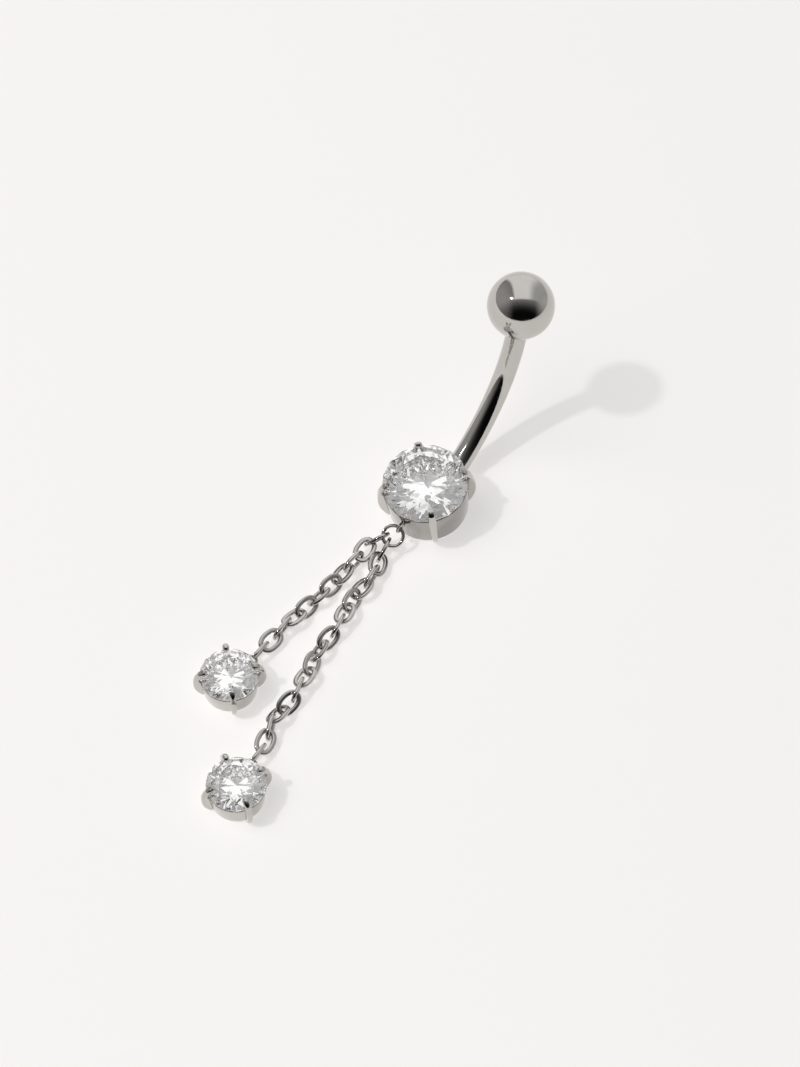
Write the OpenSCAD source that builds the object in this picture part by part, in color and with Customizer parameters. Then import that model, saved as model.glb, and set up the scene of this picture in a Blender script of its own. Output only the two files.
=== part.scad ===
// Navel ring lying on a flat surface: a curved barbell with a screw-on ball, a clear stone in a
// four-prong setting, and two chains of unequal length that each end in a smaller set stone.
// Millimetres. The barbell's bend lies in the YZ plane, +Y runs from the setting to the ball,
// the surface is at z = 0 and the origin is the bottom centre of the whole piece.

/* [Barbell] */
// Thickness of the curved bar
bar_d = 1.6; // [1.2:0.1:2]
// Radius of the bar's bend, to its centreline
bend_r = 12.1; // [10:0.1:14]
// Rise of the bar at its soldered end, in degrees
bar_start_rise = 15; // [10:1:20]
// Rise of the bar at its ball end, in degrees
bar_end_rise = 83; // [65:1:88]
// Distance from the setting's axis to the bar's soldered end
bar_end_reach = 2.2; // [2:0.05:2.4]
// Diameter of the pin that carries the ball's thread
pin_d = 1.1; // [0.8:0.1:1.2]
// Length of the pin
pin_length = 2.4; // [1.5:0.1:3]

/* [Ball] */
// Diameter of the ball
ball_d = 5; // [4:0.1:6]
// Depth that the bar's shoulder sits in the ball
ball_recess = 0.3; // [0.1:0.05:0.5]
// Running clearance round the pin and the shoulder
thread_gap = 0.05; // [0.03:0.01:0.08]

/* [Main setting] */
// Diameter of the main stone
main_stone_d = 6.4; // [5.6:0.1:7]
// Height of the main collar
main_collar_h = 3.3; // [2.8:0.05:4]
// Width of a main prong
main_prong_w = 0.6; // [0.4:0.02:0.8]
// How far a main claw reaches in over its stone
main_claw_reach = 0.22; // [0.15:0.01:0.4]
// How far the setting leans from the surface as it lies, in degrees
main_tilt = 8; // [4:1:12]
// Height of the eyelet on the main collar
eyelet_h = 1.8; // [1.2:0.1:2]

/* [Drops] */
// Diameter of a drop's stone
drop_stone_d = 4.3; // [3.6:0.1:4.8]
// Height of a drop's collar
drop_collar_h = 1.75; // [1.7:0.05:3]
// Width of a drop's prong
drop_prong_w = 0.5; // [0.36:0.02:0.66]
// How far a drop's claw reaches in over its stone
drop_claw_reach = 0.3; // [0.15:0.01:0.4]
// Heading of the first drop, from its eye to its centre, in degrees
drop_a_heading = -90; // [-110:1:-70]
// Heading of the second drop, from its eye to its centre, in degrees
drop_b_heading = -75; // [-95:1:-60]

/* [Collars, prongs and stones] */
// Thickness of a collar's wall at its bottom
collar_wall = 0.45; // [0.35:0.05:0.6]
// How much a collar's radius shrinks from its rim to its bottom
collar_taper = 0.22; // [0.1:0.02:0.3]
// How far a prong's back stands out from the stone's edge
prong_bulge = 0.5; // [0.4:0.05:0.7]
// How far a prong's foot stands out from the collar
prong_foot = 0.12; // [0.08:0.02:0.2]
// Width of a prong's foot as a share of the prong's width
prong_foot_share = 0.6; // [0.5:0.05:1]
// How far a prong reaches below the collar
foot_drop = 0.18; // [0.15:0.01:0.3]
// Radius of a claw's rounded tip
claw_tip_r = 0.25; // [0.2:0.01:0.3]
// Gap between a stone and its metal
stone_gap = 0.04; // [0.03:0.01:0.06]
// Width of a stone's table as a share of its width
table_share = 0.59; // [0.53:0.01:0.65]
// Angle of a stone's crown, in degrees
crown_angle = 35; // [30:1:38]
// Angle of a stone's pavilion, in degrees
pavilion_angle = 38; // [36:0.5:38.5]
// Thickness of a stone's girdle
girdle_h = 0.12; // [0.08:0.01:0.2]

/* [Chain] */
// Thickness of the wire of a chain link
link_wire = 0.37; // [0.32:0.01:0.38]
// Thickness of a link across its polished flats
link_flat = 0.29; // [0.24:0.01:0.32]
// Length inside a chain link
link_inner = 1.39; // [1.34:0.01:1.6]
// Width inside a chain link
link_inner_w = 0.78; // [0.74:0.01:0.9]
// Play between two links
link_gap = 0.08; // [0.06:0.01:0.1]
// How much closer the first chain's links lie than when it is pulled straight, for each link
chain_a_slack = 0.02; // [0:0.01:0.05]
// How much closer the second chain's links lie than when it is pulled straight, for each link
chain_b_slack = 0.08; // [0:0.01:0.1]
// Outer diameter of the jump ring
ring_d = 1.8; // [1.7:0.05:2.2]
// Thickness of the jump ring's wire
ring_wire = 0.27; // [0.22:0.01:0.3]
// Outer diameter of the eyelet on the main collar
eyelet_d = 0.94; // [0.9:0.02:1.2]
// Outer diameter of the eye on a drop
eye_d = 1.1; // [1.04:0.02:1.2]
// Thickness of the wire of the eyelet and the eyes
eye_wire = 0.2; // [0.18:0.01:0.22]

/* [Hidden] */
$fn = 48;

// How each chain lies. One row for each link from the jump ring: its heading in degrees,
// where -90 runs straight away from the ball, and its roll about that heading.
chain_a_lie = [
    [-129, 62],
    [-88, -20],
    [-96, -84],
    [-92, 22],
    [-98, -45],
    [-96, 45],
    [-98, -45],
    [-98, 20],
    [-90, 82],
    [-96, -30],
    [-93, 75],
];
chain_b_lie = [
    [-84, 72],
    [-67, -25],
    [-84, -90],
    [-97, 18],
    [-82, -45],
    [-76, 15],
    [-80, 75],
    [-94, -45],
    [-82, 45],
    [-72, -45],
    [-82, 18],
    [-75, 80],
    [-96, -35],
    [-88, 30],
    [-67, 95],
    [-76, -25],
    [-88, 75],
];
// Where each chain hooks round the jump ring, in degrees from its point in the eyelet
chain_a_hook = 134;
chain_b_hook = 184;
// The steepest that a link hangs down from the jump ring to the surface, in degrees
steepest_dip = 27;
// How the jump ring's plane tips up towards the setting and rolls towards +X, in degrees
ring_lift = 26;
ring_roll = 20;

chain_a_count = len(chain_a_lie);
chain_b_count = len(chain_b_lie);

bar_r = bar_d / 2;
ball_r = ball_d / 2;
pin_r = pin_d / 2;
main_stone_r = main_stone_d / 2;
drop_stone_r = drop_stone_d / 2;
// Width of the flat on a collar's rim, outside the stone's seat
rim = 0.08;
// The prongs sink this far into the collar, less than the rim's width
bite = 0.06;
// The eyes sink this far into their collars
solder = 0.17;
// A setting's first prong stands at this angle, and the other three a quarter turn apart
prong_angle = 45;
// From a collar's rim up to the lower edge of the stone's girdle
stone_lift = rim * tan(pavilion_angle) + stone_gap / cos(pavilion_angle);
// Where a pavilion's long lower facets end, as a share of the stone's radius
keel_share = 0.24;
steel = [0.72, 0.72, 0.73];
clear = [0.93, 0.95, 0.98, 0.6];

function link_name(stem, i) = str(stem, i < 10 ? "0" : "", i);

// Outer radius of a collar at this height above its bottom
function collar_r(stone_r, height, z) = stone_r - collar_taper * (1 - z / height);

// The main setting stands on its two front feet, raised so that the lowest one touches z = 0.
main_low_r = collar_r(main_stone_r, main_collar_h, 0);
main_foot_y = (main_low_r + prong_foot + main_prong_w * prong_foot_share / 2) * sin(prong_angle);
main_rise = max(main_foot_y * sin(main_tilt) + foot_drop * cos(main_tilt), main_low_r * sin(main_tilt));

// A point of the main setting's own frame in the lying frame
function laid(p) = [
    p[0],
    p[1] * cos(main_tilt) - p[2] * sin(main_tilt),
    p[1] * sin(main_tilt) + p[2] * cos(main_tilt) + main_rise
];

// The bar's bend: the lower edge of its soldered end touches z = 0.
bend_y = bar_end_reach - bend_r * sin(bar_start_rise);
bend_z = (bend_r + bar_r) * cos(bar_start_rise);
bar_tip = [0, bend_y + bend_r * sin(bar_end_rise), bend_z - bend_r * cos(bar_end_rise)];
bar_tip_way = [0, cos(bar_end_rise), sin(bar_end_rise)];
// Distance from the ball's centre back to the bar's shoulder
shoulder_back = sqrt(pow(ball_r, 2) - pow(bar_r + thread_gap, 2)) - ball_recess;
ball_at = bar_tip + bar_tip_way * shoulder_back;

// The jump ring hangs in the eyelet. Its local +Y points to the eyelet.
ring_r = (ring_d - ring_wire) / 2;
eyelet_r = (eyelet_d - eye_wire) / 2;
eyelet_y = -(collar_r(main_stone_r, main_collar_h, eyelet_h) + eyelet_d / 2 - solder);
ring_hold = laid([0, eyelet_y - eyelet_r + (eye_wire + ring_wire) / 2 + link_gap, eyelet_h]);

function ring_turned(p) = let (
    y = p[1] * cos(ring_lift) - p[2] * sin(ring_lift),
    z = p[1] * sin(ring_lift) + p[2] * cos(ring_lift)
) [p[0] * cos(ring_roll) + z * sin(ring_roll), y, z * cos(ring_roll) - p[0] * sin(ring_roll)];

ring_at = ring_hold - ring_turned([0, ring_r, 0]);

function ring_point(angle) = ring_at + ring_turned([-ring_r * sin(angle), ring_r * cos(angle), 0]);

// A link's bend radius to the wire's centreline, its straight half length, and the distance
// from its centre to the middle of the wire at each end
link_bend_r = (link_inner_w + link_wire) / 2;
link_half = link_inner / 2 - link_inner_w / 2;
link_end = link_half + link_bend_r;
// From a link's centre to the middle of the wire of this thickness that its end holds
function hold_back(wire) = link_end - (wire + link_wire) / 2 - link_gap;
eye_r = (eye_d - eye_wire) / 2;

// Height of the centre of a link that lies on the surface with this roll
function lying_height(roll) = link_bend_r * abs(sin(roll)) + link_wire / 2;

// Height of the joint after link i: the higher of the two links that meet there
function joint_height(lie, i) =
    max(lying_height(lie[i - 1][1]), lying_height(lie[min(i, len(lie) - 1)][1]));

// From link i's centre back to the joint before it, and on to the joint after it
function span_before(slack, i) = i == 1 ? hold_back(ring_wire) : (link_inner - link_gap - slack) / 2;
function span_after(lie, slack, i) =
    i == len(lie) ? hold_back(eye_wire) : (link_inner - link_gap - slack) / 2;
function link_span(lie, slack, i) = span_before(slack, i) + span_after(lie, slack, i);

// The joint after link i, walked from the jump ring
function joint_at(lie, slack, start, i) =
    i == 0 ? start :
    let (
        from = joint_at(lie, slack, start, i - 1),
        dip = dip_from(lie, slack, from, i),
        heading = lie[i - 1][0]
    ) from + link_span(lie, slack, i) * [cos(dip) * cos(heading), cos(dip) * sin(heading), -sin(dip)];

// How steeply link i falls from the joint before it, in degrees
function dip_from(lie, slack, from, i) =
    min(asin((from[2] - joint_height(lie, i)) / link_span(lie, slack, i)), steepest_dip);

function dip_of(lie, slack, start, i) = dip_from(lie, slack, joint_at(lie, slack, start, i - 1), i);

function link_at(lie, slack, start, i) = let (
    from = joint_at(lie, slack, start, i - 1),
    to = joint_at(lie, slack, start, i)
) from + (to - from) * span_before(slack, i) / link_span(lie, slack, i);

chain_a_start = ring_point(chain_a_hook);
chain_b_start = ring_point(chain_b_hook);
chain_a_stop = joint_at(chain_a_lie, chain_a_slack, chain_a_start, chain_a_count);
chain_b_stop = joint_at(chain_b_lie, chain_b_slack, chain_b_start, chain_b_count);
// From the far bend of a drop's eye to the drop's axis, for an eye at this height
function eye_to_axis(z) =
    eye_r + eye_d / 2 - solder + collar_r(drop_stone_r, drop_collar_h, z - foot_drop);
function drop_place(stop, heading) = stop + eye_to_axis(stop[2]) * [cos(heading), sin(heading), 0];
drop_a_at = drop_place(chain_a_stop, drop_a_heading);
drop_b_at = drop_place(chain_b_stop, drop_b_heading);

// How far a prong reaches from its setting's axis along the direction of this angle
function prong_reach(stone_r, prong_w, heading, way) = max([for (k = [0:3])
    let (a = heading + prong_angle + 90 * k - way)
    (stone_r + prong_bulge) * cos(a) + prong_w / 2 * abs(sin(a))]);

function drop_reach(heading, way) = prong_reach(drop_stone_r, drop_prong_w, heading, way);

main_side = prong_reach(main_stone_r, main_prong_w, 0, 0);
x_low = min(drop_a_at[0] - drop_reach(drop_a_heading, 180), -main_side, -ball_r);
x_high = max(drop_b_at[0] + drop_reach(drop_b_heading, 0), main_side, ball_r);
y_low = min(drop_a_at[1] - drop_reach(drop_a_heading, -90),
            drop_b_at[1] - drop_reach(drop_b_heading, -90));
y_high = ball_at[1] + ball_r;
origin_at = [(x_low + x_high) / 2, (y_low + y_high) / 2, 0];

// Moves what is modelled about the main setting to the piece's own origin
module placed() {
    translate(-origin_at) children();
}

// The bar along its bend, with the pin that the ball screws on to
module bar() {
    translate([0, bend_y, bend_z])
        rotate([90, 0, 90])
            rotate([0, 0, bar_start_rise - 90])
                rotate_extrude(angle = bar_end_rise - bar_start_rise, $fn = 64)
                    translate([bend_r, 0])
                        circle(r = bar_r, $fn = 48);
    translate(bar_tip)
        rotate([bar_end_rise - 90, 0, 0])
            translate([0, 0, -pin_r])
                cylinder(r = pin_r, h = pin_length + pin_r);
}

// A ball with a blind bore for the pin and a shallow recess for the bar's shoulder
module ball() {
    color(steel)
        placed()
            translate(ball_at)
                rotate([bar_end_rise - 90, 0, 0])
                    difference() {
                        sphere(r = ball_r, $fn = 96);
                        translate([0, 0, -shoulder_back])
                            cylinder(r = pin_r + thread_gap, h = pin_length + 2 * thread_gap);
                        translate([0, 0, -ball_r])
                            cylinder(r = bar_r + thread_gap, h = ball_r - shoulder_back + thread_gap);
                    }
}

// A collar that narrows to its bottom, its mouth cut to the stone's pavilion
module collar(stone_r, height) {
    low_r = collar_r(stone_r, height, 0);
    bore_r = low_r - collar_wall;
    seat_r = stone_r - rim;
    rotate_extrude($fn = 96)
        polygon([
            [bore_r, 0],
            [low_r, 0],
            [stone_r, height],
            [seat_r, height],
            [bore_r, height - (seat_r - bore_r) * tan(pavilion_angle)],
        ]);
}

// Height of the middle of a claw's rounded tip
function claw_tip_z(height, reach) =
    height + stone_lift + girdle_h + stone_gap
    + (reach + stone_gap) * tan(crown_angle) + claw_tip_r / cos(crown_angle);

// The side view of a prong: a bowed back, and a claw that follows the stone's crown.
module prong_side(stone_r, height, reach) {
    mouth_r = stone_r + stone_gap;
    low_r = collar_r(stone_r, height, 0);
    crown_low = height + stone_lift + girdle_h + stone_gap;
    tip = [stone_r - reach, claw_tip_z(height, reach)];
    top = tip[1] + claw_tip_r;
    // The back is an arc through the foot, furthest out at half the prong's height
    bow = stone_r + prong_bulge - low_r - prong_foot;
    half = (top + foot_drop) / 2;
    back_r = (pow(half, 2) + pow(bow, 2)) / (2 * bow);
    back_x = stone_r + prong_bulge - back_r;
    intersection() {
        translate([back_x, half - foot_drop])
            circle(r = back_r, $fn = 200);
        union() {
            polygon([
                [low_r - bite, -foot_drop],
                [back_x + back_r, -foot_drop],
                [back_x + back_r, top],
                [tip[0], top],
                [tip[0], tip[1] - claw_tip_r / cos(crown_angle)],
                [mouth_r, crown_low],
                [mouth_r, height],
                [stone_r - bite, height],
            ]);
            translate(tip) circle(r = claw_tip_r, $fn = 32);
        }
    }
}

// A prong that narrows to its foot and is rounded at its top, as seen from outside
module prong(stone_r, height, width, reach) {
    shoulder = claw_tip_z(height, reach) + claw_tip_r - width / 2;
    foot_w = width * prong_foot_share;
    intersection() {
        rotate([90, 0, 0])
            translate([0, 0, -width / 2])
                linear_extrude(width)
                    prong_side(stone_r, height, reach);
        rotate([90, 0, 90])
            linear_extrude(stone_r + 2 * prong_bulge) {
                polygon([
                    [-foot_w / 2, -foot_drop],
                    [foot_w / 2, -foot_drop],
                    [width / 2, shoulder],
                    [-width / 2, shoulder],
                ]);
                translate([0, shoulder])
                    circle(r = width / 2, $fn = 32);
            }
    }
}

// A collar with four prongs
module setting(stone_r, height, prong_w, reach) {
    collar(stone_r, height);
    for (k = [0:3])
        rotate([0, 0, prong_angle + 90 * k])
            prong(stone_r, height, prong_w, reach);
}

// A round brilliant: table, eight stars, eight kites, upper and lower girdle facets, eight mains.
// Its girdle's lower edge is at z = 0.
module brilliant(stone_r) {
    crown_rise = tan(crown_angle);
    pavilion_rise = tan(pavilion_angle);
    table_r = stone_r * table_share;
    star_r = (stone_r + table_r) / 2;
    keel_r = stone_r * keel_share;
    top = girdle_h + (stone_r - table_r) * crown_rise;
    star_z = girdle_h + (stone_r - star_r * cos(22.5)) * crown_rise;
    keel_z = -(stone_r - keel_r * cos(22.5)) * pavilion_rise;
    culet_z = -stone_r * pavilion_rise;
    table = [for (k = [0:7]) [table_r * cos(45 * k), table_r * sin(45 * k), top]];
    star = [for (k = [0:7]) [star_r * cos(45 * k + 22.5), star_r * sin(45 * k + 22.5), star_z]];
    upper = [for (k = [0:15]) [stone_r * cos(22.5 * k), stone_r * sin(22.5 * k), girdle_h]];
    lower = [for (k = [0:15]) [stone_r * cos(22.5 * k), stone_r * sin(22.5 * k), 0]];
    keel = [for (k = [0:7]) [keel_r * cos(45 * k + 22.5), keel_r * sin(45 * k + 22.5), keel_z]];
    points = concat(table, star, upper, lower, keel, [[0, 0, culet_z]]);
    star_0 = 8;
    upper_0 = 16;
    lower_0 = 32;
    keel_0 = 48;
    culet = 56;
    faces = concat(
        [[for (k = [7:-1:0]) k]],
        [for (k = [0:7]) [k, (k + 1) % 8, star_0 + k]],
        [for (k = [0:7]) [k, star_0 + k, upper_0 + 2 * k, star_0 + (k + 7) % 8]],
        [for (k = [0:7]) [star_0 + k, upper_0 + 2 * k + 1, upper_0 + 2 * k]],
        [for (k = [0:7]) [star_0 + k, upper_0 + (2 * k + 2) % 16, upper_0 + 2 * k + 1]],
        [for (k = [0:15]) [upper_0 + k, upper_0 + (k + 1) % 16, lower_0 + (k + 1) % 16, lower_0 + k]],
        [for (k = [0:7]) [keel_0 + k, lower_0 + 2 * k, lower_0 + 2 * k + 1]],
        [for (k = [0:7]) [keel_0 + k, lower_0 + 2 * k + 1, lower_0 + (2 * k + 2) % 16]],
        [for (k = [0:7]) [culet, keel_0 + (k + 7) % 8, lower_0 + 2 * k, keel_0 + k]]
    );
    polyhedron(points = points, faces = faces);
}

// A wire ring about the Z axis, its size measured to the outside
module wire_ring(outer_d, wire) {
    rotate_extrude($fn = 64)
        translate([(outer_d - wire) / 2, 0])
            circle(r = wire / 2, $fn = 24);
}

module laid_setting() {
    translate([0, 0, main_rise])
        rotate([main_tilt, 0, 0])
            children();
}

// The barbell's bar, the main collar with its prongs, and the eyelet, soldered into one
module bar_and_setting() {
    color(steel)
        placed() {
            bar();
            laid_setting() {
                setting(main_stone_r, main_collar_h, main_prong_w, main_claw_reach);
                translate([0, eyelet_y, eyelet_h])
                    rotate([0, 90, 0])
                        wire_ring(eyelet_d, eye_wire);
            }
        }
}

module main_stone() {
    color(clear)
        placed()
            laid_setting()
                translate([0, 0, main_collar_h + stone_lift])
                    brilliant(main_stone_r);
}

module jump_ring() {
    color(steel)
        placed()
            translate(ring_at)
                rotate([0, ring_roll, 0])
                    rotate([ring_lift, 0, 0])
                        wire_ring(ring_d, ring_wire);
}

// The section of a link's wire: round, with a polished flat on each face
module link_section() {
    intersection() {
        circle(r = link_wire / 2, $fn = 24);
        square([link_wire * 2, link_flat], center = true);
    }
}

// One oval link in the XY plane, its length along X
module chain_link() {
    for (side = [0, 180])
        rotate([0, 0, side]) {
            translate([link_half, 0, 0])
                rotate([0, 0, -90])
                    rotate_extrude(angle = 180, $fn = 48)
                        translate([link_bend_r, 0])
                            link_section();
            translate([-link_half, link_bend_r, 0])
                rotate([90, 0, 90])
                    linear_extrude(2 * link_half)
                        link_section();
        }
}

module lying_link(lie, slack, start, i) {
    color(steel)
        placed()
            translate(link_at(lie, slack, start, i))
                rotate([0, 0, lie[i - 1][0]])
                    rotate([0, dip_of(lie, slack, start, i), 0])
                        rotate([lie[i - 1][1], 0, 0])
                            chain_link();
}

// Stands a drop's own frame where the chain ends, its eye towards the chain
module dropped(at, heading) {
    placed()
        translate([at[0], at[1], foot_drop])
            rotate([0, 0, heading])
                children();
}

module drop_setting(at, heading) {
    color(steel)
        dropped(at, heading) {
            setting(drop_stone_r, drop_collar_h, drop_prong_w, drop_claw_reach);
            translate([eye_r - eye_to_axis(at[2]), 0, at[2] - foot_drop])
                wire_ring(eye_d, eye_wire);
        }
}

module drop_stone(at, heading) {
    color(clear)
        dropped(at, heading)
            translate([0, 0, drop_collar_h + stone_lift])
                brilliant(drop_stone_r);
}

ball();
bar_and_setting();
main_stone();
jump_ring();
for (i = [1:chain_a_count])
    lying_link(chain_a_lie, chain_a_slack, chain_a_start, i);
drop_setting(drop_a_at, drop_a_heading);  // drop_a_setting
drop_stone(drop_a_at, drop_a_heading);  // drop_a_stone
for (i = [1:chain_b_count])
    lying_link(chain_b_lie, chain_b_slack, chain_b_start, i);
drop_setting(drop_b_at, drop_b_heading);  // drop_b_setting
drop_stone(drop_b_at, drop_b_heading);  // drop_b_stone
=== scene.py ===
from math import asin, cos, pi, radians, sin, sqrt, tan

import bmesh
import bpy
import numpy as np
from bpy.props import FloatProperty, FloatVectorProperty, IntProperty, PointerProperty
from mathutils import Matrix, Vector


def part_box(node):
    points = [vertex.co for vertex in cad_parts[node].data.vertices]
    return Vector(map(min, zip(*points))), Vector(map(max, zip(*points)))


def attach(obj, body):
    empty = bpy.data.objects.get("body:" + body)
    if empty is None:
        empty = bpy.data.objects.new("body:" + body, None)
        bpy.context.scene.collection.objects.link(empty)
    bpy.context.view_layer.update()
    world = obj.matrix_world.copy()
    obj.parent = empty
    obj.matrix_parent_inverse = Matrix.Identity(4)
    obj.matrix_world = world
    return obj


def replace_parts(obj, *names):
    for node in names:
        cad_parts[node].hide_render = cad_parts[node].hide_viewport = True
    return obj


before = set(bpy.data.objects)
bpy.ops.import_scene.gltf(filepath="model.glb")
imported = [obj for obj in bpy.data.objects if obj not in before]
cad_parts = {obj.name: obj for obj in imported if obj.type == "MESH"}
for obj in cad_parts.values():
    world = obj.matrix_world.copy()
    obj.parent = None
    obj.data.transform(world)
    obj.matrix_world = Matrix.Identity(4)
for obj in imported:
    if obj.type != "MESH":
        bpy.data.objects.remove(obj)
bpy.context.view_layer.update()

bl_info = {
    "name": "Navel Ring",
    "version": (1, 0, 0),
    "blender": (4, 5, 0),
    "location": "3D View > Sidebar > Navel Ring",
    "description": "Builds a curved barbell with a set stone and two chains of links with small set stones",
    "category": "Add Mesh",
}

PIECE = "piece"
BALL = "ball"
MM = 0.001

# The middle of the picture, on the floor
LOOKED_AT = Vector((-1.146, 5.108, 0.0)) * MM

# How many facets light may meet inside a cut stone
STONE_BOUNCES = 32

# Each steel finish: its share of the steel's colour, its roughness, its scratches and its mottling. The main
# collar's low share is painted shade: a darker copy of the polished steel that stands in for the shadowed
# floor its wall mirrors
STEELS = {
    "Polished steel": (1.0, 0.07, 0.10, 0.04),
    "Collar steel": (0.63, 0.09, 0.18, 0.04),
    "Drop steel": (0.94, 0.09, 0.18, 0.04),
    "Chain steel": (1.0, 0.05, 0.16, 0.10),
}

# How fine each noise of the finishes is, in waves per metre
CLOUD_SCALE = 900.0
HAZE_SCALE = 2500.0
SCRATCH_SCALE = 9000.0
STONE_TINT_SCALE = 1200.0
STONE_POLISH_SCALE = 5000.0
FLOOR_SCALE = 40.0

# The depth of the finest scratches, in metres
SCRATCH_DEPTH = 0.00001

# How clear stone bends light, its least tint as a share of its colour, and its roughest polish
STONE_IOR = 2.42
STONE_TINT_SHARE = 0.985
STONE_ROUGHNESS = 0.012

# The floor's darkest patches, as a share of its colour
FLOOR_TINT_SHARE = 0.997

# The mirrored room: how far a direction leans where each part of it starts, and where it is full
PANEL_NEAR_EDGE = (-0.08, 0.06)
PANEL_LEFT_EDGE = (-0.48, -0.34)
PANEL_RIGHT_EDGE = (0.98, 0.80)
PANEL_DIMS = (0.30, 0.72)
PANEL_DIM_SHARE = 0.50
GLOW_RISES = (-0.85, 0.10)
RIGHT_WING = (0.68, 1.04)
LEFT_WING = (-0.40, -0.86)
LEFT_WING_SHARE = 0.5

# The way and the width of the sun, and the place and the size of the soft lights in metres
SUN_WAY = (-0.44, -0.50, 1.0)
SUN_ANGLE = radians(3.4)
SOFT_LIGHT_PLACE = (-0.5, -0.5, 1.3)
SOFT_LIGHT_SIZE = 1.4

# The floor's half width, and how far it lies below the piece, in metres
FLOOR_HALF = 2.0
FLOOR_DROP = 0.00001


# Sizes that a user may change

def length(name, text, mm):
    return FloatProperty(name=name, description=text, default=mm * MM, min=0.0, unit="LENGTH", precision=5)


def angle(name, text, degrees):
    return FloatProperty(name=name, description=text, default=radians(degrees), unit="ROTATION")


def share(name, text, value, high=1.0):
    return FloatProperty(name=name, description=text, default=value, min=0.0, max=high, subtype="FACTOR")


def oval_power(name, text, value):
    return FloatProperty(name=name, description=text, default=value, min=2.0, max=6.0)


def strength(name, text, value):
    return FloatProperty(name=name, description=text, default=value, min=0.0)


def tint(name, text, value):
    return FloatVectorProperty(name=name, description=text, default=value, size=3, min=0.0, max=1.0,
                               subtype="COLOR")


class BarbellSizes(bpy.types.PropertyGroup):
    bar_d: length("Bar thickness", "Thickness of the curved bar", 1.6)
    bend_r: length("Bend radius", "Radius of the bar's bend, to its centreline", 12.1)
    start_rise: angle("Rise at the setting", "Rise of the bar at its soldered end", 15)
    end_rise: angle("Rise at the ball", "Rise of the bar at its ball end", 83)
    end_reach: length("Soldered end", "From the setting's axis to the bar's soldered end", 2.2)
    solder_flare: length("Solder", "How far the solder spreads where the bar meets the collar", 0.22)
    pin_d: length("Pin thickness", "Diameter of the threaded pin", 1.1)
    pin_length: length("Pin length", "Length of the threaded pin", 2.4)
    thread_pitch: length("Thread pitch", "Distance from one turn of the thread to the next", 0.25)
    thread_depth: length("Thread depth", "Depth of the thread", 0.08)
    ball_d: length("Ball", "Diameter of the ball", 5.0)
    ball_recess: length("Recess", "Depth that the bar's shoulder sits in the ball", 0.3)
    thread_gap: length("Clearance", "Clearance round the pin and the shoulder", 0.05)
    edge: length("Edge rounding", "Rounding of the ball's and the bar's edges", 0.05)


class MainSettingSizes(bpy.types.PropertyGroup):
    stone_d: length("Main stone", "Diameter of the main stone", 6.4)
    collar_h: length("Collar height", "Height of the main collar", 3.3)
    prong_w: length("Prong width", "Width of a main prong", 0.6)
    claw_reach: length("Claw reach", "How far a main claw reaches in over its stone", 0.22)
    tilt: angle("Lean", "How far the setting leans as it lies", 8)
    eyelet_h: length("Eyelet height", "Height of the eyelet on the collar", 1.8)
    eyelet_d: length("Eyelet", "Outer diameter of the eyelet", 0.94)


class DropSettingSizes(bpy.types.PropertyGroup):
    stone_d: length("Drop stone", "Diameter of a drop's stone", 4.3)
    collar_h: length("Collar height", "Height of a drop's collar", 1.75)
    prong_w: length("Prong width", "Width of a drop's prong", 0.5)
    claw_reach: length("Claw reach", "How far a drop's claw reaches in over its stone", 0.3)
    heading_a: angle("First drop", "Heading of the first drop, from its eye to its centre", -90)
    heading_b: angle("Second drop", "Heading of the second drop, from its eye to its centre", -75)
    eye_d: length("Eye", "Outer diameter of a drop's eye", 1.1)


class ProngSizes(bpy.types.PropertyGroup):
    wall: length("Collar wall", "Thickness of a collar's wall at its bottom", 0.45)
    taper: length("Collar taper", "How much a collar's radius shrinks to its bottom", 0.22)
    rim: length("Rim", "Width of the flat on a collar's rim", 0.08)
    bulge: length("Bulge", "How far a prong's back stands out from the stone's edge", 0.5)
    foot: length("Foot", "How far a prong's foot stands out from the collar", 0.12)
    foot_share: share("Foot width", "Width of a prong's foot as a share of the prong's width", 0.6)
    foot_drop: length("Foot drop", "How far a prong reaches below the collar", 0.18)
    tip_r: length("Claw tip", "Radius of a claw's rounded tip", 0.25)
    bite: length("Bite", "How far a prong sinks into the collar", 0.06)
    solder: length("Eye solder", "How far an eye sinks into its collar", 0.17)
    wire: length("Eye wire", "Thickness of the wire of the eyelet and the eyes", 0.2)
    edge: length("Edge rounding", "Rounding of a collar's edges", 0.05)
    stone_gap: length("Stone gap", "Gap between a stone and its metal", 0.04)
    girdle_h: length("Girdle", "Thickness of a stone's girdle", 0.12)
    crown_angle: angle("Crown", "Angle of a stone's crown", 35)
    pavilion_angle: angle("Pavilion", "Angle of a stone's pavilion", 38)
    count: IntProperty(name="Prongs", description="How many prongs hold a stone", default=4, min=3, max=8)
    first: angle("First prong", "Where the first prong stands", 45)


class ChainSizes(bpy.types.PropertyGroup):
    wire: length("Link wire", "Thickness of the wire of a chain link", 0.37)
    flat: length("Link flats", "Thickness of a link across its polished flats", 0.29)
    inner: length("Link length", "Length inside a chain link", 1.39)
    inner_w: length("Link width", "Width inside a chain link", 0.78)
    roundness: oval_power("Link outline", "2 makes a link an ellipse and more fills its corners", 2.35)
    flatness: oval_power("Link section", "2 makes the wire oval and more flattens its faces", 2.9)
    eye_roll: angle("Last link's roll", "Roll of the link that holds a drop's eye", 75)
    ring_d: length("Jump ring", "Outer diameter of the jump ring", 1.8)
    ring_wire: length("Jump ring wire", "Thickness of the jump ring's wire", 0.27)


class Finishes(bpy.types.PropertyGroup):
    steel: tint("Steel", "Colour of the polished steel", (0.55, 0.534, 0.508))
    chain: tint("Chain steel", "Colour of the chains' steel", (0.54, 0.528, 0.508))
    stone: tint("Stone", "Colour of the clear stones", (1.0, 0.994, 0.991))
    floor: tint("Floor", "Colour of the floor", (0.816, 0.80, 0.786))


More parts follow.
